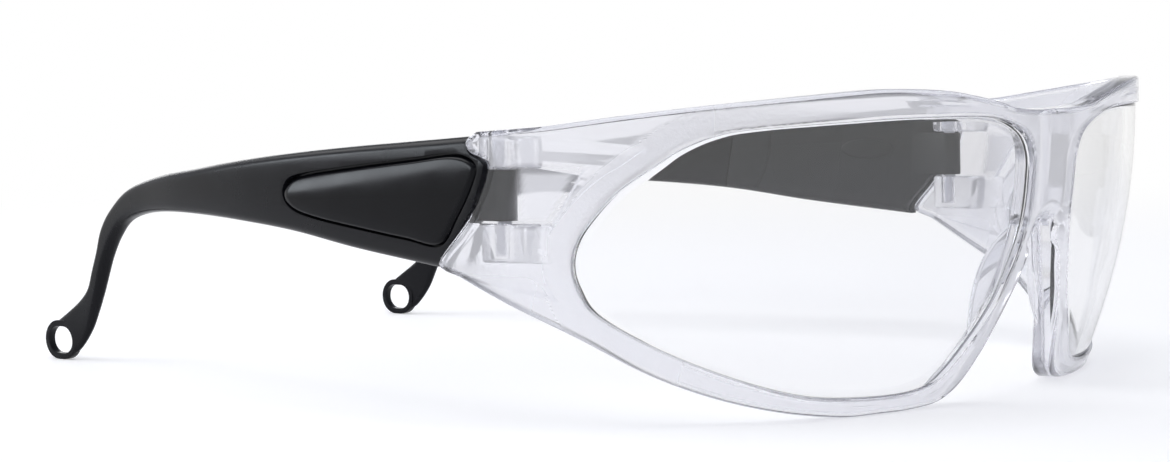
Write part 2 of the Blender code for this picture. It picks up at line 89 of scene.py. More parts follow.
WINDOW_LINE = [(6.7, 29.0), (6.6, 34.0), (6.9, 38.0), (9.0, 41.4), (13.5, 43.6), (19.0, 44.7),
               (26.9, 45.0), (40.0, 45.0), (58.8, 44.1), (65.0, 43.2), (70.0, 41.4), (73.8, 39.1),
               (79.4, 35.3), (82.9, 31.6), (85.2, 27.9), (85.6, 24.3), (84.0, 20.6), (80.0, 16.5),
               (69.3, 11.4), (56.7, 6.8), (45.8, 3.9), (37.2, 3.0), (27.0, 2.9), (21.5, 3.9),
               (18.4, 6.2), (15.5, 9.6), (12.6, 13.4), (10.3, 17.2), (8.8, 21.0), (7.4, 25.2)]
WINDOW_BREAKS = [0, 3, 10, 17, 24, 30]   # where the window changes side, as point indexes
SIDE_COLUMNS = [44, 130, 72, 110, 84]    # middle, brow, lug, bottom and nose columns
WINDOW_CENTRE = (45.0, 24.0)

# The nose flange's free edge, as (height, x, y)
FLANGE_REAR = [(28.0, 3.6, 6.6), (26.0, 5.2, 8.4), (23.6, 6.6, 9.8), (20.4, 7.9, 10.8),
               (16.8, 8.9, 11.3), (13.3, 9.9, 11.3), (10.5, 11.0, 11.0), (8.4, 12.2, 10.6)]
FLANGE_THICKNESS = 1.5
FLANGE_ROOT = (0.35, 1.2)  # how far its root lies inside the rim, across and in depth

EDGE_ROUND = 0.7           # rounding of the rim's outer edges
ARCH_BEVEL = 2.6           # broad bevel on the front over the nose
ARCH_BEVEL_DEPTH = 1.5
ARCH_BOTTOM = 24.0         # the arch is the nose line above this height
WINDOW_ROUND = 0.4         # rounding of the window's edges
RING_WIDTH = 4.6           # raised band round the window
RECESS = 0.55              # how far the panel behind it is sunk
BEAD_RAISE = 0.25          # the bead along the brow stands this much proud
BEAD_LOWER_EDGE = 43.0
BEAD_WIDTHS = (0.95, 3.8)  # narrowest and widest
BAND_LIMIT = 0.38          # the most of a narrow rim that the ring and the bead each take
STEP_WIDTH = 0.35
SKIN_DEPTH = 1.2           # points nearer than this to the front's surface are on the outside
LENS_GAP = 0.06
LENS_FRONT = 0.6
LENS_REAR = 2.7
LENS_EDGE = 0.25           # rounding of the lens's edge

# ---------------------------------------------------------------- hinge
KNUCKLE_RADIUS = 3.1
KNUCKLE_ROOT = (65.9, 48.2, 1.1)  # x, y and radius where the knuckle runs into the lug
UPPER_KNUCKLE = (38.6, 43.4)      # lowest and highest point
LOWER_KNUCKLE = (24.3, 30.3)
SLOT_WALL = 2.0                   # what the slot leaves of the lug
SLOT_FRONT = (85.5, 90.0)         # where the slot starts, at its top and at its bottom
SLOT_CUT_END = 116.0              # behind the lug's rear edge
SLOT_LINE_END = 96.0              # the slot's outline shows through the wall up to here
TONGUE_RADIUS = 1.9
TONGUE_ROOT = (64.75, 66.2, 0.6)
PIN_RADIUS = 1.0
PIN_HEAD_RADIUS = 1.5
PIN_BOTTOM = 25.6
PIN_SHOULDER = 39.2
PIN_TOP = 43.0
RUNNING_GAP = 0.1
SWING_RADIUS = 3.5                # the temple is cleared to here round the hinge axis
GAP = 0.3                         # between pieces that touch
FRONT_GAP = 0.4                   # between the lug's rear edge and the temple
CUT_DEPTH = 9.0                   # a cut of this depth goes right through

# ---------------------------------------------------------------- temple
# The outer face seen from above, as (y, x)
TEMPLE_PLAN = [(50.0, 70.9), (62.0, 69.4), (80.0, 67.0), (100.0, 64.1), (120.0, 60.6), (140.0, 55.9),
               (155.0, 51.6), (168.0, 48.2), (176.0, 46.8), (182.0, 46.4), (188.0, 46.4), (194.0, 46.4)]
# Cross-sections: upper edge and lower edge as (y, height), and thickness
TEMPLE_STATIONS = [
    ((56.0, 43.8), (58.0, 22.0), 4.8), ((75.5, 42.4), (76.5, 23.8), 4.8),
    ((91.0, 41.3), (91.0, 25.3), 4.8), ((106.5, 40.0), (106.8, 27.3), 4.7),
    ((122.0, 38.4), (122.4, 28.4), 4.5), ((136.5, 36.6), (136.7, 28.9), 4.2),
    ((149.5, 34.9), (147.1, 28.8), 3.8), ((160.7, 32.3), (156.0, 28.0), 3.4),
    ((167.4, 28.5), (162.4, 26.3), 3.1), ((171.1, 24.7), (166.4, 23.2), 2.9),
    ((173.0, 20.2), (169.2, 19.6), 2.8), ((174.5, 17.0), (170.8, 16.4), 2.7),
    ((176.0, 13.6), (172.3, 12.9), 2.5), ((178.7, 11.1), (174.0, 9.2), 2.2),
    ((182.4, 8.7), (175.9, 5.6), 1.8), ((185.2, 7.0), (178.9, 2.2), 1.4),
    ((186.4, 6.0), (181.5, 0.8), 1.3)]
TEMPLE_CORNER = 1.3        # edge radius of the section
TEMPLE_CROWN = 1.0         # how far the outer face falls away at its edges
ARM_ROUND = 0.28
PLATE_ROUND = 0.15
PLATE_OUTER = 3.4          # the hinge plate lies this far in from the outer face
SEAM_TOP_Y = 104.5         # the slanted seam behind the hinge plate
SEAM_BOTTOM_Y = 110.0
LOZENGE_CENTRE = (76.7, 35.2)
LOZENGE_HALF = (5.6, 1.9)
PLATE_LINE_PEAK = (97.5, 38.0)    # foremost point of the curved line on the plate, as (y, height)
PLATE_LINE_BOW = 0.03
PLATE_LINE_WIDTH = 0.5
PLATE_LINE_DEPTH = 4.6            # depth of its floor, from the outer face
EYE_CENTRE = (183.9, 3.6)
EYE_OUTER_X = 46.3
EYE_HALF_LENGTH = 4.3
EYE_HALF_HEIGHT = 3.6
EYE_HOLE_HALF_LENGTH = 3.3
EYE_HOLE_RADIUS = 2.5
EYE_THICKNESS = 1.4
INLAY_LINE = [(59.9, 39.2), (65.2, 40.5), (75.6, 39.5), (90.3, 38.0), (103.4, 36.4), (106.7, 34.9),
              (107.0, 32.8), (104.6, 31.0), (98.8, 29.8), (87.3, 28.5), (76.3, 27.4), (68.2, 26.8),
              (63.6, 31.4), (60.3, 36.2)]
INLAY_REAR = 1.4
INLAY_PROUD = 0.35
POCKET_DEPTH = 1.7
INLAY_CENTRE = (82.0, 33.4)
INLAY_SLOPE_START = 62.0          # y at which the two lines of the sloping upper part are given
INLAY_SLOPE_TOP = (40.9, 0.115)   # height there, and how fast it drops
INLAY_SLOPE_FOOT = (34.6, 0.045)
INLAY_SLOPE_FALL = 0.85


def hinge_axis(word):
    """x and y of a hinge axis in workshop millimetres, from the frame's joint."""
    joint = next(j for j in frame["joints"] if j["name"] == "fold_" + word)
    return abs(joint["pos_m"][0]) / MM, (joint["pos_m"][1] - FRONT_Y) / MM


HINGE_X, HINGE_Y = hinge_axis("left")


def to_world(points):
    """Workshop millimetres, as rows of x, y, z, to metres in the frame."""
    return np.asarray(points, dtype=float) * MM + np.array([0.0, FRONT_Y, 0.0])


# ---------------------------------------------------------------- curves

def smooth_line(points, steps, closed=False):
    """A Catmull-Rom line through the points; point i of the input is point i * steps."""
    count = len(points)
    line = []
    for i in range(count if closed else count - 1):
        if closed:
            around = [points[(i + k) % count] for k in (-1, 0, 1, 2)]
        else:
            around = [points[min(max(i + k, 0), count - 1)] for k in (-1, 0, 1, 2)]
        p0, p1, p2, p3 = (np.array(p, dtype=float) for p in around)
        for k in range(steps):
            t = k / steps
            line.append(tuple(0.5 * (2 * p1 + (p2 - p0) * t + (2 * p0 - 5 * p1 + 4 * p2 - p3) * t ** 2
                                     + (3 * p1 - 3 * p2 + p3 - p0) * t ** 3)))
    line.append(tuple(map(float, points[0] if closed else points[-1])))
    return line


def spread(line, parts):
    """Points at equal distances along a line, without its last point."""
    line = np.array(line)
    lengths = np.concatenate([[0], np.cumsum(np.linalg.norm(np.diff(line, axis=0), axis=1))])
    wanted = np.linspace(0, lengths[-1], parts + 1)[:-1]
    return np.column_stack([np.interp(wanted, lengths, line[:, k]) for k in range(line.shape[1])])


def wrap_table():
    """The front's outer surface seen from above: x, y and the run along it from the middle."""
    turn = np.linspace(0, math.pi / 2, 6000)
    x = HALF_WIDTH * np.sin(turn) ** (2 / WRAP_POWER_X)
    y = WRAP_DEPTH * (1 - np.cos(turn) ** (2 / WRAP_POWER_Y))
    x = np.append(x, HALF_WIDTH)
    y = np.append(y, WRAP_DEPTH + STRAIGHT_END)
    run = np.concatenate([[0], np.cumsum(np.hypot(np.diff(x), np.diff(y)))])
    return x, y, run


WRAP_X, WRAP_Y, WRAP_RUN = wrap_table()


def wrap_points(run, height, depth):
    """Points on the front of the right half, 'depth' behind its outer surface, as rows of x, y, z."""
    run, height, depth = np.broadcast_arrays(np.asarray(run, float), height, depth)
    height = np.maximum(height, 0.0)
    step = 0.6
    ahead, behind = run + step, run - step
    along_x = (np.interp(ahead, WRAP_RUN, WRAP_X)
               - np.sign(behind) * np.interp(abs(behind), WRAP_RUN, WRAP_X))
    along_y = np.interp(ahead, WRAP_RUN, WRAP_Y) - np.interp(abs(behind), WRAP_RUN, WRAP_Y)
    along_y = np.where(run < 1e-9, 0.0, along_y)
    size = np.hypot(along_x, along_y)
    x, y = np.interp(run, WRAP_RUN, WRAP_X), np.interp(run, WRAP_RUN, WRAP_Y)
    lean = LEAN * np.maximum(BROW_HEIGHT - height, 0.0) ** 2
    return np.stack([x - along_y / size * depth, y + along_x / size * depth + lean, height], axis=-1)


TEMPLE_Y, TEMPLE_X = np.array(smooth_line(TEMPLE_PLAN, 24)).T


def temple_points(y, height, depth):
    """Points on the temple, 'depth' in from its outer face, as rows of x, y, z."""
    y, height, depth = np.broadcast_arrays(np.asarray(y, float), height, depth)
    step = 1.5
    slope = (np.interp(y + step, TEMPLE_Y, TEMPLE_X) - np.interp(y - step, TEMPLE_Y, TEMPLE_X)) / (2 * step)
    size = np.hypot(1.0, slope)
    return np.stack([np.interp(y, TEMPLE_Y, TEMPLE_X) - depth / size, y + slope * depth / size, height],
                    axis=-1)


# ---------------------------------------------------------------- meshes

def make_object(name, points, faces, side=1, sharp=38.0, merge=0.004):
    """One closed solid from workshop points, mirrored for the wearer's right, shaded smooth."""
    points = np.asarray(points, dtype=float) * np.array([side, 1.0, 1.0])
    mesh = bpy.data.meshes.new(name)
    mesh.from_pydata(to_world(points).tolist(), [], [list(map(int, f)) for f in faces])
    shape = bmesh.new()
    shape.from_mesh(mesh)
    loose = [v for v in shape.verts if not v.link_faces]
    bmesh.ops.delete(shape, geom=loose, context="VERTS")
    bmesh.ops.remove_doubles(shape, verts=shape.verts, dist=merge * MM)
    bmesh.ops.recalc_face_normals(shape, faces=shape.faces)
    shape.to_mesh(mesh)
    shape.free()
    item = bpy.data.objects.new(name, mesh)
    bpy.context.collection.objects.link(item)
    smooth(item, sharp)
    return item


def smooth(item, sharp=38.0):
    """Smooth shading, broken at edges sharper than the angle."""
    item.data.shade_smooth()
    item.data.set_sharp_from_angle(angle=math.radians(sharp))


def loft(rings, capped=True):
    """Points and faces of a skin over equal rings, with flat ends."""
    size = len(rings[0])
    points = np.concatenate([np.asarray(ring, float) for ring in rings])
    faces = []
    for i in range(len(rings) - 1):
        for k in range(size):
            n = (k + 1) % size
            faces.append((i * size + k, i * size + n, (i + 1) * size + n, (i + 1) * size + k))
    if capped:
        faces.append(tuple(range(size)))
        faces.append(tuple((len(rings) - 1) * size + k for k in range(size)))
    return points, faces


def circle(x, y, radius, height, sides=48):
    angle = 2 * math.pi * np.arange(sides) / sides
    return np.column_stack([x + radius * np.cos(angle), y + radius * np.sin(angle), np.full(sides, height)])


def turned(name, profile, side, sharp=38.0):
    """A round solid on the hinge axis from (radius, height) points."""
    points, faces = loft([circle(HINGE_X, HINGE_Y, radius, height) for radius, height in profile])
    return make_object(name, points, faces, side, sharp)


def hull_object(name, points, side, bevel=0.0):
    """The tightest convex solid round the points, with its edges rounded."""
    mesh = bpy.data.meshes.new(name)
    shape = bmesh.new()
    for point in to_world(np.asarray(points, float) * np.array([side, 1.0, 1.0])):
        shape.verts.new(point)
    result = bmesh.ops.convex_hull(shape, input=shape.verts)
    inside = [v for v in result["geom_interior"] if isinstance(v, bmesh.types.BMVert)]
    bmesh.ops.delete(shape, geom=inside, context="VERTS")
    bmesh.ops.dissolve_limit(shape, angle_limit=0.001, verts=shape.verts, edges=shape.edges)
    bmesh.ops.recalc_face_normals(shape, faces=shape.faces)
    if bevel:
        edges = [e for e in shape.edges if e.calc_face_angle(0.0) > math.radians(40)]
        bmesh.ops.bevel(shape, geom=edges, offset=bevel * MM, segments=4, profile=0.5, affect="EDGES")
    shape.to_mesh(mesh)
    shape.free()
    item = bpy.data.objects.new(name, mesh)
    bpy.context.collection.objects.link(item)
    smooth(item)
    return item


def combine(target, tool, operation):
    """Join, cut or keep the common part of two solids, and throw the tool away."""
    modifier = target.modifiers.new("combine", "BOOLEAN")
    modifier.operation = operation
    modifier.solver = "EXACT"
    modifier.object = tool
    bake(target)
    bpy.data.objects.remove(tool, do_unlink=True)


def bake(target):
    """Turn the object's modifiers into plain mesh."""
    bpy.context.view_layer.update()
    evaluated = target.evaluated_get(bpy.context.evaluated_depsgraph_get())
    mesh = bpy.data.meshes.new_from_object(evaluated)
    target.modifiers.clear()
    target.data = mesh


def round_edges(target, width, segments=3, angle=42.0, sharp=38.0):
    """A small rounding on every sharp edge."""
    modifier = target.modifiers.new("round", "BEVEL")
    modifier.width = width * MM
    modifier.segments = segments
    modifier.limit_method = "ANGLE"
    modifier.angle_limit = math.radians(angle)
    modifier.use_clamp_overlap = True
    bake(target)
    smooth(target, sharp)


# ---------------------------------------------------------------- front frame

def front_columns():
    """Matching points on the window and on the outline of one half, and what each column runs to."""
    steps = 16
    window = smooth_line(WINDOW_LINE, steps, closed=True)
    bottom = smooth_line(BOTTOM_LINE + NOSE_LINE[1:], steps)
    corner = (len(BOTTOM_LINE) - 1) * steps
    outline_sides = [[ARCH_TOP, BROW_LINE[0]], smooth_line(BROW_LINE, steps),
                     smooth_line(LUG_LINE, steps), bottom[:corner + 1], bottom[corner:]]
    window_pts, outline_pts = [], []
    for i, parts in enumerate(SIDE_COLUMNS):
        start, end = WINDOW_BREAKS[i] * steps, WINDOW_BREAKS[i + 1] * steps
        window_pts.append(spread(window[start:end + 1], parts))
        outline_pts.append(spread(outline_sides[i], parts))
    return np.concatenate(window_pts), np.concatenate(outline_pts)


def distance_to(points, line):
    """Distance of each point from a line of points, both in run and height."""
    starts, ends = line[:-1], line[1:]
    step = ends - starts
    length = (step ** 2).sum(axis=1)
    best = np.full(len(points), 1e9)
    for i in range(0, len(points), 2000):
        offset = points[i:i + 2000, None, :] - starts[None]
        share = np.clip((offset * step[None]).sum(axis=2) / length[None], 0, 1)
        gap = np.linalg.norm(offset - share[..., None] * step[None], axis=2)
        best[i:i + 2000] = gap.min(axis=1)
    return best


def rounding(distance, radius):
    """How far a rounded edge falls away at a distance from the edge."""
    inside = np.clip(radius - distance, 0.0, radius)
    return radius - np.sqrt(np.maximum(radius ** 2 - inside ** 2, 0.0))


def soft_step(value, low, high):
    """0 up to low, 1 from high, and a smooth rise between."""
    share = np.clip((value - low) / (high - low), 0.0, 1.0)
    return share * share * (3 - 2 * share)


def front_half():
    """Points and faces of one half of the front, closed by a wall on the middle plane."""
    window, outline = front_columns()
    count = len(window)
    across = outline - window
    length = np.linalg.norm(across, axis=1)
    direction = across / length[:, None]
    middle, brow_end = SIDE_COLUMNS[0], SIDE_COLUMNS[0] + SIDE_COLUMNS[1]

    bead = np.full(count, BEAD_WIDTHS[0])
    bead[middle:brow_end] = np.clip(outline[middle:brow_end, 1] - BEAD_LOWER_EDGE, *BEAD_WIDTHS)
    room = length - STEP_WIDTH * 2 - WINDOW_ROUND
    bead = np.minimum(bead, BAND_LIMIT * room + WINDOW_ROUND)
    ring = np.minimum(RING_WIDTH, BAND_LIMIT * room + WINDOW_ROUND)

    # The relief fades where the rim is narrow, near the bridge and where the columns run askew
    edge = np.roll(window, -1, axis=0) - np.roll(window, 1, axis=0)
    edge /= np.linalg.norm(edge, axis=1)[:, None]
    square = abs(direction[:, 0] * edge[:, 1] - direction[:, 1] * edge[:, 0])
    shape = soft_step(length, 3.0, 6.0) * soft_step(outline[:, 0], 6.0, 14.0) * soft_step(square, 0.5, 0.72)
    # brow is 1 where the panel ends in a step at the bead, and 0 where it rises evenly to the edge
    column = np.arange(count)
    brow = (column >= middle) * soft_step(brow_end - column, 4.0, 30.0)

    # Front rows: distance from the window along each column, and how far each row is sunk
    rows = []
    for share, sink in ((0.0, 1.0), (0.03, 0.62), (0.12, 0.35), (0.3, 0.12), (0.6, 0.02), (1.0, 0.0)):
        rows.append((np.full(count, share * WINDOW_ROUND), np.full(count, sink * WINDOW_ROUND)))
    for share in (0.35, 0.7):
        rows.append((WINDOW_ROUND + (ring - WINDOW_ROUND) * share, np.zeros(count)))
    for share, sink in ((0.0, 0.0), (0.25, 0.15), (0.5, 0.5), (0.75, 0.85), (1.0, 1.0)):
        rows.append((ring + STEP_WIDTH * share, shape * RECESS * sink))
    panel_start, panel_end = ring + STEP_WIDTH, length - bead - STEP_WIDTH
    for share in np.linspace(0, 1, 26)[1:-1]:
        rows.append((panel_start + (panel_end - panel_start) * share,
                     shape * RECESS * (brow + (1 - brow) * (1 - share))))
    for share, sink in ((0.0, 1.0), (0.25, 0.85), (0.5, 0.5), (0.75, 0.15), (1.0, 0.0)):
        rows.append((panel_end + STEP_WIDTH * share,
                     shape * brow * (RECESS * sink - BEAD_RAISE * (1 - sink))))
    for share in (0.3, 0.6):
        rows.append((length - bead + (bead - EDGE_ROUND) * share, -shape * brow * BEAD_RAISE * (1 - share)))
    for share in (1.0, 0.7, 0.45, 0.25, 0.12, 0.04, 0.0):
        rows.append((length - EDGE_ROUND * share, np.zeros(count)))

    edge_line = np.concatenate([outline[middle:], [ARCH_TOP]])
    nose_line = np.array(smooth_line(NOSE_LINE, 8))
    lip_line = nose_line[nose_line[:, 1] > ARCH_BOTTOM]
    points = []
    for distance, sink in rows:
        flat = window + direction * distance[:, None]
        gap = distance_to(flat, edge_line)
        fall = rounding(gap, EDGE_ROUND)
        lip = np.clip(1 - distance_to(flat, lip_line) / ARCH_BEVEL, 0, 1) ** 1.5 * ARCH_BEVEL_DEPTH
        lip *= soft_step(flat[:, 1], ARCH_BOTTOM - 4.0, ARCH_BOTTOM + 2.0)
        points.append(wrap_points(flat[:, 0], flat[:, 1], sink + np.maximum(fall, lip)))

    # Side wall rows, then the rows of the rear face back to the window
    thickness = RIM_THICKNESS + BRIDGE_EXTRA * np.exp(-(outline[:, 0] / BRIDGE_SPREAD) ** 2)
    wall_start = 1.6
    for share in (0.3, 0.7):
        depth = wall_start + (thickness - wall_start - EDGE_ROUND) * share
        points.append(wrap_points(outline[:, 0], outline[:, 1], depth))
    back = [EDGE_ROUND * s for s in (0.0, 0.04, 0.12, 0.25, 0.45, 0.7, 1.0)]
    back_distances = [length - b for b in back]
    for share in np.linspace(1, 0, 24)[1:-1]:
        back_distances.append(WINDOW_ROUND + (length - EDGE_ROUND - WINDOW_ROUND) * share)
    back_distances += [np.full(count, WINDOW_ROUND * s) for s in (1.0, 0.6, 0.3, 0.12, 0.03, 0.0)]
    for distance in back_distances:
        flat = window + direction * distance[:, None]
        local = RIM_THICKNESS + BRIDGE_EXTRA * np.exp(-(flat[:, 0] / BRIDGE_SPREAD) ** 2)
        fall = rounding(distance_to(flat, edge_line), EDGE_ROUND) + rounding(distance, WINDOW_ROUND)
        points.append(wrap_points(flat[:, 0], flat[:, 1], local - fall))

    points = np.array(points)
    size = len(points)
    index = np.arange(size * count).reshape(size, count)
    faces = []
    for i in range(count):
        n = (i + 1) % count
        for k in range(size):
            m = (k + 1) % size
            faces.append((index[k, i], index[m, i], index[m, n], index[k, n]))
    return points.reshape(-1, 3), faces


def nose_x(height):
    """How far the rim's nose edge is from the middle at a height."""
    line = np.array(smooth_line(NOSE_LINE, 8))[::-1]
    return np.interp(-height, -line[:, 1], line[:, 0])


def make_flange():
    """The wing behind the nose edge of a rim, with a round free edge."""
    line = np.array(smooth_line([(h, x, y) for h, x, y in FLANGE_REAR], 8))
    rings = []
    for height, rear_x, rear_y in line:
        root_x = nose_x(height) + FLANGE_ROOT[0]
        root = wrap_points(root_x, height, RIM_THICKNESS - FLANGE_ROOT[1])[:2]
        rear = np.array([rear_x, rear_y])
        along = (rear - root) / np.linalg.norm(rear - root)
        out = np.array([along[1], -along[0]]) * FLANGE_THICKNESS
        radius = FLANGE_THICKNESS / 2
        ring = [root, rear - along * radius]
        for k in range(1, 8):
            angle = math.pi * (k / 8)
            bow = out / 2 * (1 - math.cos(angle)) + along * radius * math.sin(angle)
            ring.append(rear - along * radius + bow)
        ring += [rear - along * radius + out, root + out]
        rings.append([(x, y, height) for x, y in ring])
    points, faces = loft(rings)
    return make_object("flange", points, faces)


def make_knuckle(low, high):
    """A round column on the hinge axis with a tapering root that runs into the lug."""
    root_x, root_y, root_radius = KNUCKLE_ROOT
    points = [p for height in (low, high)
              for p in np.concatenate([circle(HINGE_X, HINGE_Y, KNUCKLE_RADIUS, height, 40),
                                       circle(root_x, root_y, root_radius, height, 24)])]
    return hull_object("knuckle", points, 1, bevel=0.5)


def make_slot_cutter():
    """The hollow behind the lug's outer wall, between the knuckles, with a slanted front end."""
    low, high = LOWER_KNUCKLE[1], UPPER_KNUCKLE[0]
    rings = []
    for share in np.linspace(0, 1, 40):
        top = SLOT_FRONT[0] + (SLOT_CUT_END - SLOT_FRONT[0]) * share
        bottom = SLOT_FRONT[1] + (SLOT_CUT_END - SLOT_FRONT[1]) * share
        rings.append([wrap_points(top, high, SLOT_WALL), wrap_points(top, high, CUT_DEPTH),
                      wrap_points(bottom, low, CUT_DEPTH), wrap_points(bottom, low, SLOT_WALL)])
    points, faces = loft(rings)
    return make_object("slot", points, faces)


def make_front_frame():
    """One half with its flange, knuckles, slot and pin bores, and its mirror image joined to it."""
    points, faces = front_half()
    item = make_object("front_frame_clear", points, faces)
    combine(item, make_flange(), "UNION")
    combine(item, make_knuckle(*UPPER_KNUCKLE), "UNION")
    combine(item, make_knuckle(*LOWER_KNUCKLE), "UNION")
    combine(item, make_slot_cutter(), "DIFFERENCE")
    bore = [(PIN_RADIUS + RUNNING_GAP, PIN_BOTTOM - GAP), (PIN_RADIUS + RUNNING_GAP, PIN_SHOULDER - GAP),
            (PIN_HEAD_RADIUS + RUNNING_GAP, PIN_SHOULDER - GAP), (PIN_HEAD_RADIUS + RUNNING_GAP, 50.0)]
    combine(item, turned("bore", bore, 1), "DIFFERENCE")
    join_mirror_image(item)
    smooth(item, 32.0)
    store_masks(item)
    return item


def join_mirror_image(item):
    """Takes the wall off the middle plane and adds the other half there."""
    shape = bmesh.new()
    shape.from_mesh(item.data)
    wall = [f for f in shape.faces if all(abs(v.co.x) < 1e-6 for v in f.verts)]
    bmesh.ops.delete(shape, geom=wall, context="FACES")
    copy = bmesh.ops.duplicate(shape, geom=shape.verts[:] + shape.edges[:] + shape.faces[:])["geom"]
    for vert in (g for g in copy if isinstance(g, bmesh.types.BMVert)):
        vert.co.x = -vert.co.x
    bmesh.ops.reverse_faces(shape, faces=[g for g in copy if isinstance(g, bmesh.types.BMFace)])
    middle = [v for v in shape.verts if abs(v.co.x) < 1e-6]
    bmesh.ops.remove_doubles(shape, verts=middle, dist=1e-6)
    gaps = [e for e in shape.edges if len(e.link_faces) == 1]
    bmesh.ops.holes_fill(shape, edges=gaps, sides=0)
    shape.to_mesh(item.data)
    shape.free()


def mirror_image(item, name):
    """The same piece for the wearer's other side."""
    copy = bpy.data.objects.new(name, item.data.copy())
    copy.data.transform(Matrix.Diagonal((-1.0, 1.0, 1.0, 1.0)))
    copy.data.flip_normals()
    bpy.context.collection.objects.link(copy)
    return copy


def store_masks(item):
    """Writes on each point how grained and how clear the plastic is there, from its place on the front."""
    mesh = item.data
    co = np.zeros(len(mesh.vertices) * 3)
    mesh.vertices.foreach_get("co", co)
    co = (co.reshape(-1, 3) - np.array([0.0, FRONT_Y, 0.0])) / MM
    height = co[:, 2]
    lean = LEAN * np.maximum(BROW_HEIGHT - height, 0.0) ** 2
    plan_x, plan_y = abs(co[:, 0]), co[:, 1] - lean
    table = np.arange(0, len(WRAP_RUN), 12)      # every twelfth point of the wrap is fine enough
    run = np.empty(len(co))
    depth = np.empty(len(co))
    for i in range(0, len(co), 4000):
        gap = np.hypot(plan_x[i:i + 4000, None] - WRAP_X[None, table],
                       plan_y[i:i + 4000, None] - WRAP_Y[None, table])
        best = gap.argmin(axis=1)
        run[i:i + 4000] = WRAP_RUN[table][best]
        depth[i:i + 4000] = gap[np.arange(len(best)), best]
    straight = plan_y > WRAP_DEPTH
    run = np.where(straight, WRAP_RUN[-2] + plan_y - WRAP_DEPTH, run)
    depth = np.where(straight, abs(HALF_WIDTH - plan_x), depth)
    window, outline = front_columns()
    flat = np.column_stack([run, height])
    from_window = distance_to(flat, np.concatenate([window, window[:1]]))
    from_edge = distance_to(flat, np.concatenate([outline[SIDE_COLUMNS[0]:], [ARCH_TOP]]))
    outside = depth < SKIN_DEPTH

    # Grained outside: the ring round the window, towards the temple, and the lug's lower corner
    band = soft_step(RING_WIDTH + 0.1 - from_window, 0.0, 0.3) * soft_step(run, 40.0, 75.0)
    low = soft_step(-height, -26.0, -21.0) * soft_step(run, 82.0, 94.0)

    # Clear instead of milky: over the tongue, round the hinge, along edges, along the slot's
    # outline and everywhere inside
    over_slot = (soft_step(run, 94.0, 96.0) * soft_step(height, LOWER_KNUCKLE[1] - 0.4, LOWER_KNUCKLE[1])
                 * soft_step(-height, -UPPER_KNUCKLE[0] - 0.4, -UPPER_KNUCKLE[0]))
    hinge = 0.5 * soft_step(run, 95.4, 97.0)
    lines = np.maximum(1 - soft_step(from_edge, 0.5, 1.3), 1 - soft_step(from_window, 0.3, 0.7))
    slot_rim = [(SLOT_LINE_END, UPPER_KNUCKLE[0]), (SLOT_FRONT[0], UPPER_KNUCKLE[0]),
                (SLOT_FRONT[1], LOWER_KNUCKLE[1]), (SLOT_LINE_END, LOWER_KNUCKLE[1])]
    from_slot = distance_to(flat, np.array(slot_rim))
    slot_lines = 0.65 * (1 - soft_step(from_slot, 0.3, 1.3))
    rear = 0.8 * (1 - outside)
    panel = soft_step(run, 82.0, 88.0) * soft_step(height, 28.0, 31.0)
    clearness = np.maximum.reduce([over_slot, hinge, lines, slot_lines, rear, 0.27 - 0.15 * panel])
    for name, value in (("frost", np.clip(band + low, 0, 1) * outside),
                        ("clearness", clearness)):
        layer = mesh.attributes.new(name, "FLOAT", "POINT")
        layer.data.foreach_set("value", value.astype(np.float32))


def make_lens(name, side):
    """A curved pane that fills its window, with round edges."""
    window, _ = front_columns()
    centre = np.array(WINDOW_CENTRE)
    outward = window - centre
    reach = np.linalg.norm(outward, axis=1)
    outward /= reach[:, None]
    rings = []
    front = [(LENS_GAP + LENS_EDGE * (1 - math.sin(a)), LENS_FRONT + LENS_EDGE * (1 - math.cos(a)))
             for a in np.linspace(0, math.pi / 2, 5)]
    rear = [(inset, LENS_FRONT + LENS_REAR - depth) for inset, depth in reversed(front)]
    shares = np.linspace(0.04, 1, 26)[:-1]
    for share in shares:
        rings.append((reach * share, LENS_FRONT))
    rings += [(reach - inset, depth) for inset, depth in front]
    rings += [(reach - inset, depth) for inset, depth in rear]
    for share in shares[::-1]:
        rings.append((reach * share, LENS_REAR))
    skins = []
    for distance, depth in rings:
        flat = centre + outward * distance[:, None]
        skins.append(wrap_points(flat[:, 0], flat[:, 1], depth))
    points, faces = loft(skins)
    return make_object(name, points, faces, side)


def make_pin(name, side):
    """The hinge pin, with a rounded head that has a small dimple in its top."""
    profile = [(0.7, PIN_BOTTOM), (PIN_RADIUS, PIN_BOTTOM + 0.3), (PIN_RADIUS, PIN_SHOULDER),
               (PIN_HEAD_RADIUS - 0.1, PIN_SHOULDER), (PIN_HEAD_RADIUS, PIN_SHOULDER + 0.1),
               (PIN_HEAD_RADIUS, PIN_TOP - 0.35), (PIN_HEAD_RADIUS - 0.1, PIN_TOP - 0.13),
               (PIN_HEAD_RADIUS - 0.35, PIN_TOP - 0.02), (0.75, PIN_TOP), (0.5, PIN_TOP - 0.5),
               (0.2, PIN_TOP - 0.6)]
    return turned(name, profile, side, 50.0)


# ---------------------------------------------------------------- temple

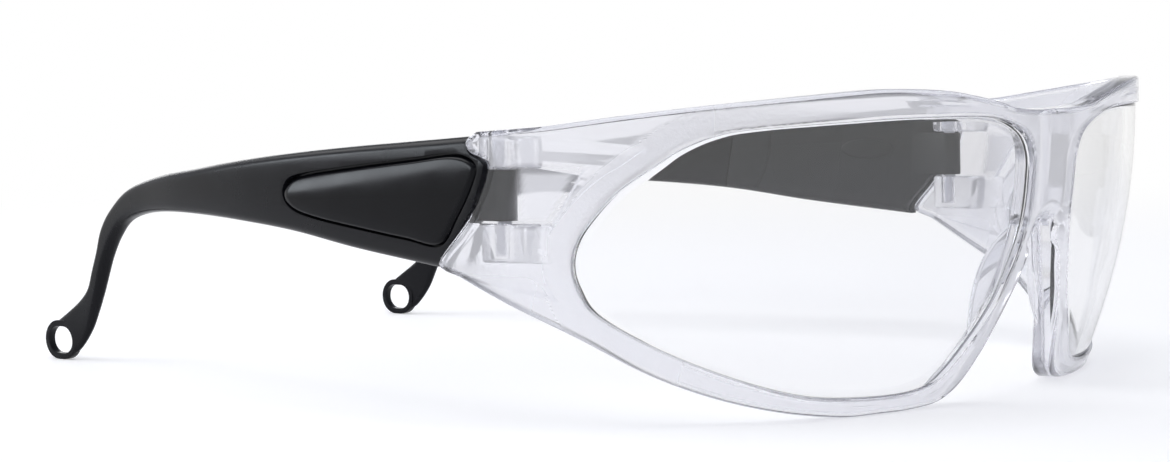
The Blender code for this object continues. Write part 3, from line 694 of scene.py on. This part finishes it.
def section_ring(upper, lower, thickness):
    """One cross-section of the temple: a rounded bar between its upper and lower edge."""
    upper, lower = np.array(upper), np.array(lower)
    tall = np.linalg.norm(upper - lower)
    up = (upper - lower) / tall
    radius = min(TEMPLE_CORNER, 0.45 * thickness, 0.45 * tall)
    corners = [(thickness - radius, tall - radius, 0), (radius, tall - radius, 90),
               (radius, radius, 180), (thickness - radius, radius, 270)]
    flat = []
    for across, rise, start in corners:
        for k in range(9):
            angle = math.radians(start + 90 / 8 * k)
            flat.append((across + radius * math.cos(angle), rise + radius * math.sin(angle)))
        if start == 90:    # more points down the outer face, for its crown
            flat += [(0.0, rise - (tall - 2 * radius) * share) for share in np.linspace(0, 1, 16)[1:-1]]
    across, rise = np.array(flat).T
    crown = min(TEMPLE_CROWN, 0.05 * tall) * abs(2 * rise / tall - 1) ** 2.5
    across = across + crown * np.clip(1 - across / (0.6 * thickness), 0, 1)
    place = lower + up * rise[:, None]
    return temple_points(place[:, 0], place[:, 1], across)


def temple_bar(name, side):
    """The whole tapering bar from the hinge to the tip."""
    flat = [(*upper, *lower, thickness) for upper, lower, thickness in TEMPLE_STATIONS]
    rings = [section_ring(p[0:2], p[2:4], p[4]) for p in smooth_line(flat, 10)]
    points, faces = loft(rings)
    return make_object(name, points, faces, side)


def grow(outline, distance):
    """The outline moved outwards by a distance."""
    outline = np.asarray(outline, float)
    before, after = np.roll(outline, 1, axis=0), np.roll(outline, -1, axis=0)
    area = (before[:, 0] * outline[:, 1] - outline[:, 0] * before[:, 1]).sum()
    first = outline - before
    second = after - outline
    along = (first / np.linalg.norm(first, axis=1)[:, None]
             + second / np.linalg.norm(second, axis=1)[:, None])
    along /= np.linalg.norm(along, axis=1)[:, None]
    out = np.column_stack([along[:, 1], -along[:, 0]]) * (1 if area > 0 else -1)
    return outline + out * distance


def inlay_outline(distance=0.0):
    """The wedge's outline, moved outwards by a distance."""
    line = np.array(smooth_line(INLAY_LINE, 8, closed=True)[:-1])
    return grow(line, distance) if distance else line


def make_front_cutter(side):
    """Takes off everything ahead of the temple's front edge, which follows the rear edge of the lug."""
    ahead, above, below = 97.0, 50.0, 15.0
    outline = grow([(ahead, above), (LUG_LINE[0][0], above)] + smooth_line(LUG_LINE, 8)
                   + [(LUG_LINE[-1][0], below), (ahead, below)], FRONT_GAP)
    points, faces = loft([wrap_points(outline[:, 0], outline[:, 1], depth) for depth in (-4.0, CUT_DEPTH)])
    return make_object("front_cutter", points, faces, side)


def seam_slab(shift, near, far, side):
    """The space of the hinge plate: all ahead of the slanted seam, between two depths."""
    start, above, below = 50.0, 48.0, 18.0
    rings = []
    for share in np.linspace(0, 1, 41):
        top = start + (SEAM_TOP_Y + shift - start) * share
        bottom = start + (SEAM_BOTTOM_Y + shift - start) * share
        rings.append([temple_points(top, above, near), temple_points(top, above, far),
                      temple_points(bottom, below, far), temple_points(bottom, below, near)])
    points, faces = loft(rings)
    return make_object("seam", points, faces, side)


def oval(half_length, half_height, parts=20):
    """An upright oval round the lanyard eye's centre, as (y, height)."""
    straight = half_length - half_height
    outline = []
    for end in (1, -1):
        for k in range(parts + 1):
            angle = math.pi * (k / parts - 0.5)
            outline.append((EYE_CENTRE[0] + end * (straight + half_height * math.cos(angle)),
                            EYE_CENTRE[1] + end * half_height * math.sin(angle)))
    return outline


def eye_prism(outline, near, far, side):
    points, faces = loft([[(EYE_OUTER_X - depth, y, z) for y, z in outline] for depth in (near, far)])
    return make_object("eye", points, faces, side)


def swing_cutter(side):
    return turned("swing", [(SWING_RADIUS, 10.0), (SWING_RADIUS, 55.0)], side)


def make_arm(name, side):
    """The black side arm, with its eye, the wedge's pocket and the recess for the hinge plate."""
    arm = temple_bar(name, side)
    combine(arm, eye_prism(oval(EYE_HALF_LENGTH, EYE_HALF_HEIGHT), 0.0, EYE_THICKNESS, side), "UNION")
    combine(arm, eye_prism(oval(EYE_HOLE_HALF_LENGTH, EYE_HOLE_RADIUS), -3.0, 6.0, side), "DIFFERENCE")
    combine(arm, make_front_cutter(side), "DIFFERENCE")
    combine(arm, swing_cutter(side), "DIFFERENCE")
    combine(arm, seam_slab(0.0, PLATE_OUTER - GAP, CUT_DEPTH, side), "DIFFERENCE")
    outline = inlay_outline(GAP)
    rings = [temple_points(outline[:, 0], outline[:, 1], depth) for depth in (-2.0, POCKET_DEPTH)]
    combine(arm, make_object("pocket", *loft(rings), side), "DIFFERENCE")
    round_edges(arm, ARM_ROUND)
    return arm


def make_hinge_plate(name, side):
    """The grey inner piece at the temple's front, with the tongue that turns on the pin."""
    plate = temple_bar(name, side)
    combine(plate, seam_slab(-GAP, PLATE_OUTER, CUT_DEPTH, side), "INTERSECT")
    combine(plate, make_front_cutter(side), "DIFFERENCE")
    combine(plate, swing_cutter(side), "DIFFERENCE")
    root_x, root_y, root_radius = TONGUE_ROOT
    points = [p for height in (LOWER_KNUCKLE[1] + GAP, UPPER_KNUCKLE[0] - GAP)
              for p in np.concatenate([circle(HINGE_X, HINGE_Y, TONGUE_RADIUS, height, 40),
                                       circle(root_x, root_y, root_radius, height, 16)])]
    tongue = hull_object("tongue", points, side)
    bore = [(PIN_RADIUS + RUNNING_GAP, height) for height in (20.0, 50.0)]
    combine(tongue, turned("bore", bore, side), "DIFFERENCE")
    combine(plate, tongue, "UNION")
    combine(plate, make_lozenge(side), "UNION")
    combine(plate, make_plate_line(side), "DIFFERENCE")
    round_edges(plate, PLATE_ROUND)
    return plate


def make_lozenge(side):
    """The low oval pad on the plate's inner face."""
    angle = 2 * math.pi * np.arange(64) / 64
    rings = []
    for grow_by, depth in ((0.0, 4.4), (0.0, 4.95), (-0.1, 5.05), (-0.35, 5.1)):
        y = LOZENGE_CENTRE[0] + (LOZENGE_HALF[0] + grow_by) * np.cos(angle)
        z = LOZENGE_CENTRE[1] + (LOZENGE_HALF[1] + grow_by) * np.sin(angle)
        rings.append(temple_points(y, z, depth))
    points, faces = loft(rings)
    return make_object("lozenge", points, faces, side)


def make_plate_line(side):
    """A shallow curved groove across the plate's inner face."""
    rings = []
    for height in np.linspace(22.0, 45.0, 24):
        front = PLATE_LINE_PEAK[0] + PLATE_LINE_BOW * (height - PLATE_LINE_PEAK[1]) ** 2
        rear = front + PLATE_LINE_WIDTH
        rings.append([temple_points(front, height, PLATE_LINE_DEPTH),
                      temple_points(rear, height, PLATE_LINE_DEPTH),
                      temple_points(rear, height, 6.0), temple_points(front, height, 6.0)])
    points, faces = loft(rings)
    return make_object("plate_line", points, faces, side)


def make_inlay(name, side):
    """The crowned wedge in the temple's outer face; its upper part slopes down into the groove above it."""
    rings = []
    for inset, fall in ((0.0, INLAY_REAR + INLAY_PROUD), (0.0, 0.9), (0.04, 0.65), (0.14, 0.42),
                        (0.3, 0.24), (0.5, 0.12)):
        outline = inlay_outline(-inset) if inset else inlay_outline()
        slope = inlay_slope(outline) if fall < 1.0 else 0.0
        rings.append(temple_points(outline[:, 0], outline[:, 1], fall + slope - INLAY_PROUD))
    edge = inlay_outline(-0.5)
    for share in np.linspace(0.96, 0.06, 16):
        outline = np.array(INLAY_CENTRE) + (edge - INLAY_CENTRE) * share
        fall = 0.12 * share ** 6 + inlay_slope(outline)
        rings.append(temple_points(outline[:, 0], outline[:, 1], fall - INLAY_PROUD))
    points, faces = loft(rings)
    return make_object(name, points, faces, side, 50.0)


def inlay_slope(outline):
    """How far the wedge's upper part falls away towards its top edge."""
    behind, height = outline[:, 0] - INLAY_SLOPE_START, outline[:, 1]
    top = INLAY_SLOPE_TOP[0] - behind * INLAY_SLOPE_TOP[1]
    foot = INLAY_SLOPE_FOOT[0] - behind * INLAY_SLOPE_FOOT[1]
    return INLAY_SLOPE_FALL * np.clip((height - foot) / (top - foot), 0, 1) ** 1.4


# ---------------------------------------------------------------- materials

HAZY_SHARE = 0.2           # how much of the milky plastic is glass


def new_material(name):
    """A Principled material, with its tree and shader."""
    material = bpy.data.materials.new(name)
    material.use_nodes = True
    return material, material.node_tree, material.node_tree.nodes["Principled BSDF"]


def plug(tree, node, sockets):
    """Sets each socket to its number or colour, or links it to another node's output."""
    for name, value in sockets.items():
        if isinstance(value, bpy.types.NodeSocket):
            tree.links.new(value, node.inputs[name])
        else:
            node.inputs[name].default_value = value


def add_node(tree, kind, output, sockets=None, **settings):
    """A new shader node's output. The sockets are plugged once its settings are made."""
    node = tree.nodes.new("ShaderNode" + kind)
    for name, value in settings.items():
        setattr(node, name, value)
    plug(tree, node, sockets or {})
    return node.outputs[output]


def let_lamps_through(tree, shader, colour):
    """Lamps shine through the clear plastic, so that what is behind it is lit."""
    in_shadow = add_node(tree, "LightPath", "Is Shadow Ray")
    clear = add_node(tree, "BsdfTransparent", 0, {"Color": (*colour, 1.0)})
    mix = add_node(tree, "MixShader", 0, {0: in_shadow, 1: shader.outputs[0], 2: clear})
    plug(tree, tree.nodes["Material Output"], {"Surface": mix})


def clear_plastic_material():
    """Polycarbonate, milky where the clearness mask is low and grained where the frost mask is high."""
    material, tree, shader = new_material("clear_polycarbonate")
    clearness = add_node(tree, "Attribute", "Fac", attribute_name="clearness")
    frost = add_node(tree, "Attribute", "Fac", attribute_name="frost")
    share = add_node(tree, "MapRange", "Result", {"Value": clearness, "To Min": HAZY_SHARE, "To Max": 1.0})
    rough = add_node(tree, "MapRange", "Result", {"Value": frost, "To Min": 0.03, "To Max": 0.33})
    place = add_node(tree, "TexCoord", "Object")
    grain = add_node(tree, "TexNoise", "Fac", {"Vector": place, "Scale": 1900.0, "Detail": 3.0})
    strength = add_node(tree, "Math", 0, {0: frost, 1: 0.5}, operation="MULTIPLY")
    bump = add_node(tree, "Bump", "Normal", {"Strength": strength, "Distance": 0.00012, "Height": grain})
    plug(tree, shader, {"Base Color": (0.83, 0.83, 0.865, 1.0), "IOR": 1.56, "Roughness": rough,
                        "Transmission Weight": share, "Normal": bump})
    let_lamps_through(tree, shader, (0.82, 0.82, 0.85))
    return material


def clear_lens_material():
    """The lens: clear, with a trace of cloudiness in its gloss."""
    material, tree, shader = new_material("clear_lens_plastic")
    place = add_node(tree, "TexCoord", "Object")
    haze = add_node(tree, "TexNoise", "Fac", {"Vector": place, "Scale": 60.0})
    rough = add_node(tree, "MapRange", "Result", {"Value": haze, "To Min": 0.0, "To Max": 0.03})
    plug(tree, shader, {"Base Color": (0.945, 0.945, 0.95, 1.0), "IOR": 1.5, "Roughness": rough,
                        "Transmission Weight": 1.0})
    let_lamps_through(tree, shader, (0.95, 0.953, 0.96))
    return material


def moulded_material(name, colour, low, high, bump_depth, grain_scale, specular=0.5):
    """Opaque moulded plastic: a slight unevenness in the gloss and a fine grain."""
    material, tree, shader = new_material(name)
    place = add_node(tree, "TexCoord", "Object")
    cloud = add_node(tree, "TexNoise", "Fac", {"Vector": place, "Scale": 90.0, "Detail": 4.0})
    grain = add_node(tree, "TexNoise", "Fac", {"Vector": place, "Scale": grain_scale, "Detail": 2.0})
    rough = add_node(tree, "MapRange", "Result", {"Value": cloud, "From Min": 0.3, "From Max": 0.7,
                                                  "To Min": low, "To Max": high})
    dark, light = ((*[c * factor for c in colour], 1.0) for factor in (0.85, 1.2))
    tint = add_node(tree, "Mix", "Result", {"A": dark, "B": light, "Factor": cloud}, data_type="RGBA")
    bump = add_node(tree, "Bump", "Normal", {"Strength": 0.25, "Distance": bump_depth, "Height": grain})
    plug(tree, shader, {"Base Color": tint, "Roughness": rough, "Normal": bump,
                        "Specular IOR Level": specular})
    return material


# ---------------------------------------------------------------- studio

# The camera looks past the wearer's right lug at the front. Angles in degrees, lengths in mm.
CAMERA_AZIMUTH = -50.63
CAMERA_ELEVATION = 4.19
CAMERA_ROLL = -1.2
CAMERA_DISTANCE = 438.06
CAMERA_TARGET = (-43.26, 60.0, 27.36)
CAMERA_LENS = 85.49
SENSOR_WIDTH = 36.0

FLOOR_HALF = 6.0           # in metres, as the two below
FLOOR_DROP = 0.00005       # keeps the floor's surface off the rims and the tips
LAMP_AIM = (0.0, 0.0, 0.03)


def make_camera():
    azimuth, elevation, roll = (math.radians(a) for a in (CAMERA_AZIMUTH, CAMERA_ELEVATION, CAMERA_ROLL))
    back = Vector((math.sin(azimuth) * math.cos(elevation), -math.cos(azimuth) * math.cos(elevation),
                   math.sin(elevation)))
    right = Vector((math.cos(azimuth), math.sin(azimuth), 0.0))
    up = back.cross(right)
    rolled_right = right * math.cos(roll) + up * math.sin(roll)
    rolled_up = up * math.cos(roll) - right * math.sin(roll)
    data = bpy.data.cameras.new("camera")
    data.sensor_width = SENSOR_WIDTH
    data.lens = CAMERA_LENS
    data.clip_start = 0.02
    data.clip_end = 60.0
    camera = bpy.data.objects.new("camera", data)
    turn = Matrix((rolled_right, rolled_up, back)).transposed().to_4x4()
    turn.translation = Vector(to_world([CAMERA_TARGET])[0]) + back * CAMERA_DISTANCE * MM
    camera.matrix_world = turn
    bpy.context.collection.objects.link(camera)
    bpy.context.scene.camera = camera


def area_light(name, place, size, power, colour=(1.0, 1.0, 1.0)):
    """A soft box aimed at the object, unseen by the camera directly or through clear plastic."""
    data = bpy.data.lights.new(name, "AREA")
    data.shape = "RECTANGLE"
    data.size, data.size_y = size
    data.energy = power
    data.color = colour
    lamp = bpy.data.objects.new(name, data)
    lamp.location = place
    lamp.rotation_euler = (Vector(place) - Vector(LAMP_AIM)).to_track_quat("Z", "Y").to_euler()
    lamp.visible_camera = False
    lamp.visible_transmission = False
    bpy.context.collection.objects.link(lamp)


def floor_material():
    """Near-white card, which turns into plain white light away from the object."""
    material, tree, shader = new_material("pale_floor")
    white = (1.0, 1.0, 1.0, 1.0)
    plug(tree, shader, {"Base Color": (0.87, 0.87, 0.875, 1.0), "Roughness": 0.75,
                        "Specular IOR Level": 0.1, "Emission Color": white, "Emission Strength": 0.24})
    glow = add_node(tree, "Emission", 0, {"Color": white})
    place = add_node(tree, "TexCoord", "Object")
    reach = add_node(tree, "VectorMath", "Value", {0: place}, operation="LENGTH")
    fade = add_node(tree, "MapRange", "Result", {"Value": reach, "From Min": 0.12, "From Max": 0.55},
                    interpolation_type="SMOOTHSTEP")
    mix = add_node(tree, "MixShader", 0, {0: fade, 1: shader.outputs[0], 2: glow})
    plug(tree, tree.nodes["Material Output"], {"Surface": mix})
    return material


def make_studio():
    """White surroundings that darken upwards, a pale floor and five soft lamps."""
    world = bpy.data.worlds.new("studio")
    bpy.context.scene.world = world
    world.use_nodes = True
    tree = world.node_tree
    place = add_node(tree, "TexCoord", "Generated")
    height = add_node(tree, "SeparateXYZ", "Z", {0: place})
    colour = add_node(tree, "ValToRGB", "Color", {0: height})
    stops = colour.node.color_ramp.elements
    stops[0].position, stops[0].color = 0.06, (1.0, 1.0, 1.0, 1.0)
    stops[1].position, stops[1].color = 0.8, (0.22, 0.23, 0.27, 1.0)
    stops.new(0.3).color = (0.72, 0.73, 0.78, 1.0)
    plug(tree, tree.nodes["Background"], {"Color": colour})

    mesh = bpy.data.meshes.new("floor")
    corners = [(x * FLOOR_HALF, y * FLOOR_HALF, 0) for x, y in ((-1, -1), (1, -1), (1, 1), (-1, 1))]
    mesh.from_pydata(corners, [], [(0, 1, 2, 3)])
    floor = bpy.data.objects.new("floor", mesh)
    floor.location.z = cad_low.z - FLOOR_DROP
    bpy.context.collection.objects.link(floor)
    floor.data.materials.append(floor_material())

    area_light("key_overhead", (-0.1, 0.0, 0.9), (0.7, 0.7), 2.6)
    area_light("side_front", (-0.7, -0.7, 0.5), (0.5, 0.4), 1.6)
    area_light("rear_above", (-0.25, 0.85, 0.75), (0.7, 0.35), 2.4)
    area_light("rear_left", (-0.62, 0.95, 0.36), (0.6, 0.2), 3.2, (0.88, 0.94, 1.0))
    area_light("rear_right", (0.62, 0.95, 0.36), (0.6, 0.2), 1.2)
    bpy.context.scene.view_settings.view_transform = "Standard"


# ---------------------------------------------------------------- assembly

def dress(item, body, node, material):
    """A finished piece: its material, the body it rides on and the CAD node it stands for."""
    item.data.materials.clear()
    item.data.materials.append(material)
    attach(item, body)
    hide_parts(node)


def main():
    """All pieces. The right-hand ones are made once and mirrored for the left."""
    clear_plastic = clear_plastic_material()
    clear_lens = clear_lens_material()
    black = moulded_material("black_nylon", (0.005, 0.0052, 0.0068), 0.2, 0.3, 0.00002, 3500.0, 0.12)
    gloss = moulded_material("black_gloss_nylon", (0.003, 0.0032, 0.0045), 0.14, 0.22, 0.00001, 3500.0, 0.1)
    grey = moulded_material("grey_satin_nylon", (0.010, 0.0105, 0.012), 0.38, 0.5, 0.00002, 3000.0, 0.2)
    pale = moulded_material("pale_pin_plastic", (0.62, 0.63, 0.66), 0.2, 0.3, 0.00001, 3000.0)

    dress(make_front_frame(), "front", "front_frame", clear_plastic)
    pieces = [(make_lens, "lens_pane", "lens", "clear_lens", clear_lens),
              (make_pin, "pin", "hinge_pin", "pin_plastic", pale),
              (make_arm, "arm", "temple_arm", "black_plastic", black),
              (make_hinge_plate, "plate", "hinge_plate", "grey_plastic", grey),
              (make_inlay, "inlay", "temple_inlay", "black_gloss", gloss)]
    for make, name, node, slot_name, material in pieces:
        item = make(name + "_right", -1)
        carrier = "front" if make in (make_lens, make_pin) else "temple"
        for word, piece in (("right", item), ("left", mirror_image(item, name + "_left"))):
            body = carrier if carrier == "front" else "temple_" + word
            dress(piece, body, node + "_" + word, material)
    make_camera()
    make_studio()


main()
